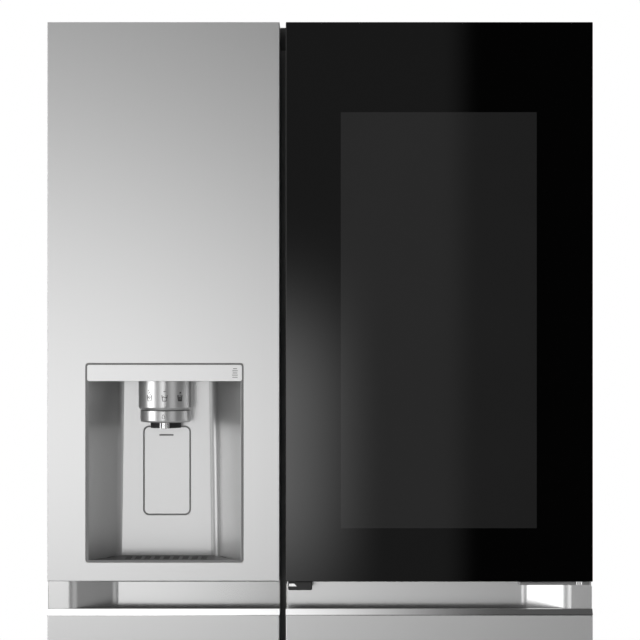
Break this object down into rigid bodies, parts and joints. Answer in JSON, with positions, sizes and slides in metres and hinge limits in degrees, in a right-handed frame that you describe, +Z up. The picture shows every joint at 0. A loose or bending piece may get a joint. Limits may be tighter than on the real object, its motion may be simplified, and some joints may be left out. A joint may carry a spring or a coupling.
{
  "type": "side by side refrigerator",
  "caption": "Tall refrigerator with a steel freezer door holding an ice and water dispenser, and a wider door with a black glass door-in-door; pocket handles run across both.",
  "frame": {"origin": "on the floor, under the middle of the overall box at rest with all doors shut", "axes": "+X to the right seen from the front, +Y to the rear, +Z up; the doors face -Y"},
  "size_m": [0.913, 0.735, 1.79],
  "materials": {
    "brushed_stainless": "fine horizontal brushing",
    "satin_band": "smooth satin steel behind the fingers",
    "polished_lip": "polished bevel",
    "black_glass": "black printed tempered glass, glossy",
    "clear_glass": "clear tempered glass",
    "cabinet_grey": "fine textured grey paint",
    "galvanised": "galvanised sheet",
    "hinge_steel": "zinc-plated and painted steel",
    "foam": "rigid foam insulation, sealed in",
    "white_liner": "formed white liner, satin",
    "dark_trim": "dark grey moulded plastic, fine texture",
    "gasket": "soft grey door seal",
    "clear_bin": "clear polystyrene",
    "silver_trim": "silver painted plastic, satin",
    "recess_grey": "metallic grey plastic, satin",
    "ring_grey": "metallic grey plastic, satin",
    "black_plastic": "black, satin",
    "black_matte": "black, matte",
    "chrome": "bright plated",
    "compressor_black": "black enamel",
    "copper_tube": "black enamelled tube",
    "fin_aluminium": "thin bright fins",
    "white_plastic": "white",
    "black_rubber": "black rubber and nylon",
    "zinc": "zinc-plated steel"
  },
  "bodies": {
    "cabinet": {"cabinet_panels": "cabinet_grey", "back_panel": "galvanised", "base_pan": "galvanised", "cabinet_foam": "foam", "freezer_liner": "white_liner", "fridge_liner": "white_liner", "top_covers": "dark_trim", "door_hinges": "hinge_steel", "kick_plate": "dark_trim", "compressor": "compressor_black", "condenser_coil": "copper_tube", "condenser_fan_shroud": "black_matte", "drain_pan": "black_matte", "machine_cover": "black_matte", "water_valve": "white_plastic", "evaporator": "fin_aluminium", "air_duct_covers": "white_liner", "glass_shelves": "clear_glass", "shelf_frames": "silver_trim", "interior_lamps": "white_plastic"},
    "levelling_foot_left": {"levelling_foot_left": "zinc"},
    "levelling_foot_right": {"levelling_foot_right": "zinc"},
    "rear_rollers": {"rear_rollers": "black_rubber"},
    "condenser_fan": {"condenser_fan": "black_matte"},
    "evaporator_fan": {"evaporator_fan": "white_plastic"},
    "crisper_drawer_lower": {"crisper_drawer_lower": "clear_bin"},
    "crisper_drawer_upper": {"crisper_drawer_upper": "clear_bin"},
    "freezer_drawer_lower": {"freezer_drawer_lower": "clear_bin"},
    "freezer_drawer_upper": {"freezer_drawer_upper": "clear_bin"},
    "freezer_door": {"freezer_door_panels": "brushed_stainless", "freezer_handle_band": "satin_band", "freezer_handle_lip": "polished_lip", "freezer_door_core": "foam", "freezer_door_liner": "white_liner", "freezer_door_gasket": "gasket", "freezer_door_baskets": "clear_bin", "ice_maker_case": "white_liner", "dispenser_housing": "recess_grey", "dispenser_bezel": "silver_trim", "dispenser_rings": "ring_grey", "ice_chute": "black_matte", "water_nozzle": "chrome", "drip_tray": "recess_grey"},
    "dispenser_lever": {"dispenser_lever": "recess_grey"},
    "fridge_door": {"fridge_door_lower_panel": "brushed_stainless", "fridge_handle_band": "satin_band", "fridge_handle_lip": "polished_lip", "fridge_door_core": "foam", "fridge_door_frame": "dark_trim", "fridge_door_liner": "white_liner", "fridge_door_gasket": "gasket", "fridge_door_baskets": "clear_bin", "fridge_basket_middle": "clear_bin", "fridge_basket_upper": "clear_bin", "outer_door_hinges": "hinge_steel"},
    "outer_door": {"outer_door_glass": "black_glass", "outer_door_frame": "dark_trim", "outer_door_glazing": "clear_glass", "outer_door_gasket": "gasket"},
    "outer_door_button": {"outer_door_button": "black_plastic"}
  },
  "joints": [
    {"name": "freezer_door_hinge", "type": "hinge", "parent": "cabinet", "child": "freezer_door", "pos_m": [-0.4345, -0.29, 0.9], "axis": [0, 0, -1], "range_deg": [0, 110]},
    {"name": "fridge_door_hinge", "type": "hinge", "parent": "cabinet", "child": "fridge_door", "pos_m": [0.4345, -0.29, 0.9], "axis": [0, 0, 1], "range_deg": [0, 110]},
    {"name": "outer_door_hinge", "type": "hinge", "parent": "fridge_door", "child": "outer_door", "pos_m": [0.4385, -0.345, 1.3], "axis": [0, 0, 1], "range_deg": [0, 105]},
    {"name": "dispenser_lever_hinge", "type": "hinge", "parent": "freezer_door", "child": "dispenser_lever", "pos_m": [-0.262, -0.268, 1.098], "axis": [1, 0, 0], "range_deg": [0, 6], "stiffness_Nm_per_rad": 1.5},
    {"name": "outer_door_button_slide", "type": "slide", "parent": "outer_door", "child": "outer_door_button", "axis": [0, 0, 1], "range_m": [0, 0.005], "stiffness_N_per_m": 400},
    {"name": "crisper_lower_slide", "type": "slide", "parent": "cabinet", "child": "crisper_drawer_lower", "axis": [0, -1, 0], "range_m": [0, 0.18]},
    {"name": "crisper_upper_slide", "type": "slide", "parent": "cabinet", "child": "crisper_drawer_upper", "axis": [0, -1, 0], "range_m": [0, 0.18]},
    {"name": "freezer_drawer_lower_slide", "type": "slide", "parent": "cabinet", "child": "freezer_drawer_lower", "axis": [0, -1, 0], "range_m": [0, 0.18]},
    {"name": "freezer_drawer_upper_slide", "type": "slide", "parent": "cabinet", "child": "freezer_drawer_upper", "axis": [0, -1, 0], "range_m": [0, 0.18]},
    {"name": "condenser_fan_spin", "type": "hinge", "parent": "cabinet", "child": "condenser_fan", "pos_m": [-0.113, 0.247, 0.16], "axis": [1, 0, 0], "continuous": true},
    {"name": "evaporator_fan_spin", "type": "hinge", "parent": "cabinet", "child": "evaporator_fan", "pos_m": [-0.25175, 0.276, 1.06], "axis": [0, 1, 0], "continuous": true},
    {"name": "rear_rollers_spin", "type": "hinge", "parent": "cabinet", "child": "rear_rollers", "pos_m": [0.42, 0.32, 0.018], "axis": [1, 0, 0], "continuous": true},
    {"name": "levelling_foot_left_turn", "type": "hinge", "parent": "cabinet", "child": "levelling_foot_left", "pos_m": [-0.425, -0.225, 0.02], "axis": [0, 0, 1], "continuous": true},
    {"name": "levelling_foot_right_turn", "type": "hinge", "parent": "cabinet", "child": "levelling_foot_right", "pos_m": [0.425, -0.225, 0.02], "axis": [0, 0, 1], "continuous": true}
  ],
  "couplings": [
    {"joint": "crisper_lower_slide", "follows": "fridge_door_hinge", "m_per_rad": 0.093756},
    {"joint": "crisper_upper_slide", "follows": "fridge_door_hinge", "m_per_rad": 0.093756},
    {"joint": "freezer_drawer_lower_slide", "follows": "freezer_door_hinge", "m_per_rad": 0.093756},
    {"joint": "freezer_drawer_upper_slide", "follows": "freezer_door_hinge", "m_per_rad": 0.093756}
  ]
}
